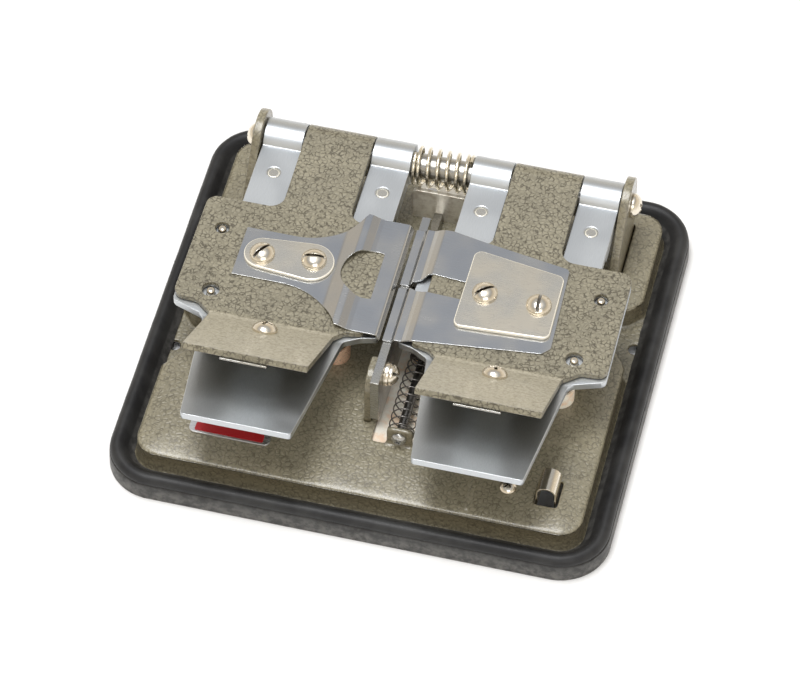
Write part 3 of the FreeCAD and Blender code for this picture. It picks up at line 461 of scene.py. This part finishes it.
def swept(name, path, profile, closed):
    """Mesh of a closed profile carried along a path of (centre, across, up) frames in millimetres."""
    verts = []
    for centre, across, up in path:
        verts += [tuple((centre + across * u + up * v) * MM) for u, v in profile]
    rings, size = len(path), len(profile)
    faces = []
    for i in range(rings if closed else rings - 1):
        following = (i + 1) % rings
        for j in range(size):
            after = (j + 1) % size
            faces.append((i * size + j, i * size + after, following * size + after, following * size + j))
    if not closed:
        faces.append(tuple(range(size))[::-1])
        faces.append(tuple(range((rings - 1) * size, rings * size)))
    mesh = bpy.data.meshes.new(name)
    mesh.from_pydata(verts, [], faces)
    mesh.validate()
    work = bmesh.new()
    work.from_mesh(mesh)
    bmesh.ops.recalc_face_normals(work, faces=work.faces)
    work.to_mesh(mesh)
    work.free()
    return mesh


def wire(name, points, radius, sides=12):
    """Round wire through a list of points in millimetres."""
    ring = [(radius * math.cos(2 * math.pi * k / sides), radius * math.sin(2 * math.pi * k / sides))
            for k in range(sides)]
    path = []
    across = None
    for i, here in enumerate(points):
        ahead = (points[min(i + 1, len(points) - 1)] - points[max(i - 1, 0)]).normalized()
        if across is None:
            across = ahead.orthogonal().normalized()
        across = (across - ahead * across.dot(ahead)).normalized()
        path.append((here, across, ahead.cross(across)))
    mesh = swept(name, path, ring, False)
    shade_by_angle(mesh, 50)
    return mesh


def centre_of(node):
    low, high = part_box(node)
    return (low + high) / 2 / MM


def size_of(node):
    low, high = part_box(node)
    return (high - low) / MM


def coil_points(start, along, side_axis, up_axis, radius, pitches, steps=28):
    """Points of a helix; pitches holds the rise of each turn in turn."""
    points = []
    travelled = 0.0
    for pitch in pitches:
        for k in range(steps):
            turn = 2 * math.pi * k / steps
            offset = side_axis * math.cos(turn) + up_axis * math.sin(turn)
            points.append(start + along * (travelled + pitch * k / steps) + offset * radius)
        travelled += pitch
    points.append(start + along * travelled + side_axis * radius)
    return points


# ---------------------------------------------------------------- rubber edging
EDGING_PROFILE = ((0.3, 0.0), (0.0, 0.15), (0.02, 2.4), (0.1, 4.3), (0.36, 4.5), (0.44, 4.62),
                  (0.3, 4.78), (0.22, 5.05), (0.34, 5.55), (0.72, 6.12), (1.25, 6.48), (1.85, 6.62),
                  (2.5, 6.5), (3.1, 6.1), (3.65, 5.45), (4.3, 4.62), (5.05, 3.78), (5.6, 3.25),
                  (5.8, 3.0), (5.76, 2.8), (5.4, 2.74), (2.2, 2.74), (2.2, 1.66), (5.7, 1.66),
                  (5.8, 1.5), (5.6, 0.2), (5.3, 0.0))
FOOT_SPOTS = {0, 1, 2}
LIP_SPOTS = {17, 18, 19}
CROWN_SPOTS = range(5, 17)
EDGING_CORNER = 11.5
WANDER = ((0.11, 0.10), (0.9, 0.035))
LIP_WANDER = (0.5, 0.16)
CORNER_BIAS = 9


def edging_path(half_x, half_y, corner, straight_step=1.2, arc_steps=18):
    """Frames round a rounded rectangle: point on the outline, direction inward and up."""
    up = Vector((0, 0, 1))
    frames = []
    quarters = ((1, 1, 0.0), (-1, 1, 0.5), (-1, -1, 1.0), (1, -1, 1.5))
    for i, (sign_x, sign_y, start) in enumerate(quarters):
        centre = Vector((sign_x * (half_x - corner), sign_y * (half_y - corner), 0))
        for k in range(arc_steps + 1):
            angle = math.pi * (start + 0.5 * k / arc_steps)
            outward = Vector((math.cos(angle), math.sin(angle), 0))
            frames.append((centre + outward * corner, -outward, up))
        length = 2 * (half_y - corner) if i % 2 else 2 * (half_x - corner)
        along = Vector((-math.sin(angle), math.cos(angle), 0))
        steps = int(length / straight_step)
        last = frames[-1]
        for k in range(1, steps):
            frames.append((last[0] + along * (length * k / steps), last[1], up))
    return frames


def rubber_edging():
    """Extruded trim: a round bead over a plain skirt, slightly uneven where it was cut and stretched."""
    low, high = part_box("rubber_edging")
    half_x, half_y = (high.x - low.x) / 2 / MM, (high.y - low.y) / 2 / MM
    mesh = swept("rubber_trim", edging_path(half_x, half_y, EDGING_CORNER), EDGING_PROFILE, True)
    count = len(EDGING_PROFILE)
    for vertex in mesh.vertices:
        place = vertex.co / MM
        wander = sum(noise.noise(place * frequency) * amount for frequency, amount in WANDER)
        ring_spot = vertex.index % count
        if ring_spot in LIP_SPOTS:
            wander += noise.noise(place * LIP_WANDER[0] + Vector((7, 3, 1))) * LIP_WANDER[1]
        outward = Vector((place.x / half_x, place.y / half_y, 0))
        outward = Vector((outward.x ** CORNER_BIAS, outward.y ** CORNER_BIAS, 0))
        if outward.length > 0 and ring_spot not in FOOT_SPOTS:
            vertex.co -= outward.normalized() * abs(wander) * MM
        if ring_spot in CROWN_SPOTS:
            vertex.co.z += wander * 0.6 * MM
    shade_by_angle(mesh, 48)
    obj = new_object("rubber_trim", mesh, "base", "rubber")
    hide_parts("rubber_edging")


# ---------------------------------------------------------------- springs
X_AXIS, Y_AXIS, Z_AXIS = Vector((1, 0, 0)), Vector((0, 1, 0)), Vector((0, 0, 1))
HINGE_WIRE, HINGE_CLOSED_TURNS, HINGE_OPEN_TURNS = 0.42, 1, 5
ROD_WIRE, ROD_TURNS, ROD_END_PITCH = 0.16, 10, 0.5
ROD_SAG = (0.35, 0.12)
LIFT_WIRE, LIFT_OPEN_TURNS = 0.3, 5


def hinge_spring():
    """Spacer spring on the axle: close turns at both ends, open turns between."""
    centre, size = centre_of("hinge_spring"), size_of("hinge_spring")
    closed_pitch = 2 * HINGE_WIRE + 0.05
    radius = size.z / 2 - HINGE_WIRE
    length = size.x - 2 * HINGE_WIRE
    open_pitch = (length - 2 * HINGE_CLOSED_TURNS * closed_pitch) / HINGE_OPEN_TURNS
    closed_end = [closed_pitch] * HINGE_CLOSED_TURNS
    pitches = closed_end + [open_pitch] * HINGE_OPEN_TURNS + closed_end
    start = centre - X_AXIS * (length / 2)
    points = coil_points(start, X_AXIS, Z_AXIS, -Y_AXIS, radius, pitches)
    obj = new_object("hinge_coil", wire("hinge_coil", points, HINGE_WIRE), "base", "spring")
    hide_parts("hinge_spring")


def rod_spring():
    """Long thin compression spring that sags on its rod."""
    centre, size = centre_of("rod_spring"), size_of("rod_spring")
    radius = size.x / 2 - ROD_WIRE
    length = size.y - 2 * ROD_WIRE
    open_pitch = (length - 2 * ROD_END_PITCH) / ROD_TURNS
    pitches = [ROD_END_PITCH] + [open_pitch] * ROD_TURNS + [ROD_END_PITCH]
    start = centre - Y_AXIS * (length / 2)
    points = coil_points(start, Y_AXIS, Z_AXIS, X_AXIS, radius, pitches)
    for point in points:
        share = (point.y - start.y) / length
        bow = math.sin(math.pi * share)
        point.x -= ROD_SAG[0] * bow
        point.z -= ROD_SAG[1] * bow
    obj = new_object("rod_coil", wire("rod_coil", points, ROD_WIRE, 8), "base", "dark_steel")
    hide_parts("rod_spring")
    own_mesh(obj)


def lift_springs(hand):
    """Pair of compression springs in the cups, with closed ends."""
    node = f"{hand}_lift_springs"
    low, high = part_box(node)
    radius = (high.y - low.y) / 2 / MM - LIFT_WIRE
    height = (high.z - low.z) / MM - 2 * LIFT_WIRE
    closed_pitch = 2 * LIFT_WIRE + 0.04
    open_pitch = (height - 2 * closed_pitch) / LIFT_OPEN_TURNS
    pitches = [closed_pitch] + [open_pitch] * LIFT_OPEN_TURNS + [closed_pitch]
    for spot, x in (("inner", low.x), ("outer", high.x)):
        inward = radius + LIFT_WIRE if x == low.x else -radius - LIFT_WIRE
        start = Vector((x / MM + inward, (low.y + high.y) / 2 / MM, low.z / MM + LIFT_WIRE))
        name = f"{hand}_{spot}_lift_coil"
        points = coil_points(start, Z_AXIS, X_AXIS, Y_AXIS, radius, pitches)
        obj = new_object(name, wire(name, points, LIFT_WIRE), BODY_OF[node], "spring")
        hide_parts(node)


# ---------------------------------------------------------------- pieces
TRAY_VOXEL = 0.3
TRAY_SMOOTHING = 10
SOFT_WIDTH = {
    "upper_plate": 0.16, "lower_plate": 0.16, "pressure_leaf": 0.07, "backing_plate": 0.28,
    "leaf_screws": 0.06,
    "tab_screw": 0.06, "catch_leaf": 0.08, "nut_plate": 0.1, "spring_cups": 0.12, "plate_rivets": 0.05,
    "film_pins": 0.05,
}
SOFT_NODES = {
    "hinge_bracket": 0.25, "centre_bar": 0.1, "bar_lug": 0.25, "bar_washer": 0.12, "bar_screw": 0.06,
    "rear_bracket": 0.15, "rod_screw": 0.05, "slider": 0.15, "arch_spring": 0.06, "arch_spring_screw": 0.05,
    "axle_screws": 0.06, "name_plate": 0.12, "name_panel": 0.03, "hinge_axle": 0.2, "guide_rod": 0.1,
    "hinge_bracket_rivets": 0.05, "rear_bracket_rivets": 0.05, "window_plate": 0.1,
}
for hand in SIDES:
    for piece, width in SOFT_WIDTH.items():
        SOFT_NODES[f"{hand}_{piece}"] = width
    lift_springs(hand)
for node, width in SOFT_NODES.items():
    softened(node, width)
tray = pressed("base_plate", TRAY_VOXEL, TRAY_SMOOTHING)
shape_deck(tray.data)
rubber_edging()
hinge_spring()
rod_spring()


# ---------------------------------------------------------------- floor, light and camera
FLOOR_HALF = 4.0
SKY_STRENGTH = 0.9
SKY_RAMP = ((0.0, (0.8, 0.78, 0.74)), (0.5, (0.92, 0.88, 0.8)), (0.64, (1.0, 0.92, 0.8)),
            (0.74, (0.8, 0.72, 0.6)), (0.82, (0.55, 0.5, 0.43)), (0.87, (0.47, 0.49, 0.53)),
            (0.93, (0.55, 0.57, 0.6)), (0.985, (1.3, 1.3, 1.3)))


def floor():
    """White floor well beyond the picture."""
    mesh = bpy.data.meshes.new("floor")
    corners = [(x * FLOOR_HALF, y * FLOOR_HALF, 0) for x, y in ((-1, -1), (1, -1), (1, 1), (-1, 1))]
    mesh.from_pydata(corners, [], [(0, 1, 2, 3)])
    obj = bpy.data.objects.new("floor", mesh)
    bpy.context.scene.collection.objects.link(obj)
    s = Shader("floor_white")
    s.set(Base_Color=(0.93, 0.93, 0.93), Roughness=0.6)
    mesh.materials.append(s.material)


def area_light(name, position, size, power):
    """White softbox that faces the origin."""
    data = bpy.data.lights.new(name, "AREA")
    data.shape = "RECTANGLE"
    data.size, data.size_y = size
    data.energy = power
    lamp = bpy.data.objects.new(name, data)
    bpy.context.scene.collection.objects.link(lamp)
    lamp.location = position
    lamp.rotation_euler = (-Vector(position)).to_track_quat("-Z", "Y").to_euler()


def studio():
    """Soft light tent, warm and bright to the sides, cooler grey higher up and white overhead."""
    world = bpy.data.worlds.new("studio")
    bpy.context.scene.world = world
    world.use_nodes = True
    tree = world.node_tree
    background = tree.nodes["Background"]
    direction = tree.nodes.new("ShaderNodeTexCoord").outputs["Generated"]
    split = tree.nodes.new("ShaderNodeSeparateXYZ")
    tree.links.new(direction, split.inputs[0])
    ramp = tree.nodes.new("ShaderNodeValToRGB")
    up = tree.nodes.new("ShaderNodeMapRange")
    up.inputs["From Min"].default_value = -1.0
    tree.links.new(split.outputs["Z"], up.inputs["Value"])
    tree.links.new(up.outputs["Result"], ramp.inputs["Fac"])
    while len(ramp.color_ramp.elements) < len(SKY_RAMP):
        ramp.color_ramp.elements.new(0.5)
    for element, (place, colour) in zip(ramp.color_ramp.elements, SKY_RAMP):
        element.position = place
        element.color = (*colour, 1.0)
    tree.links.new(ramp.outputs["Color"], background.inputs["Color"])
    background.inputs["Strength"].default_value = SKY_STRENGTH
    area_light("softbox_top", (-0.15, -0.02, 1.1), (0.7, 0.36), 8.0)
    area_light("softbox_front", (0.4, -1.0, 0.9), (0.8, 0.5), 3.6)


AZIMUTH = math.radians(13.902)
ELEVATION = math.radians(51.689)
CAMERA_DISTANCE = 1051.9 * MM
VIEW_OFFSET = (-1.0 * MM, 1.88 * MM)
LENS = 206.52
SENSOR_WIDTH = 36.0


def camera():
    """Camera without roll, looking down at the front of the splicer from a little to its right."""
    right = Vector((math.cos(AZIMUTH), math.sin(AZIMUTH), 0))
    forward = Vector((-math.sin(AZIMUTH) * math.cos(ELEVATION), math.cos(AZIMUTH) * math.cos(ELEVATION),
                      -math.sin(ELEVATION)))
    up = right.cross(forward)
    data = bpy.data.cameras.new("camera")
    data.lens = LENS
    data.sensor_width = SENSOR_WIDTH
    data.sensor_fit = "HORIZONTAL"
    data.clip_start = 0.05
    data.clip_end = 30.0
    obj = bpy.data.objects.new("camera", data)
    bpy.context.scene.collection.objects.link(obj)
    aim = right * VIEW_OFFSET[0] + up * VIEW_OFFSET[1]
    axes = Matrix((right, up, -forward)).transposed().to_4x4()
    obj.matrix_world = Matrix.Translation(aim - forward * CAMERA_DISTANCE) @ axes
    bpy.context.scene.camera = obj


floor()
studio()
camera()
bpy.context.scene.view_settings.view_transform = "Standard"
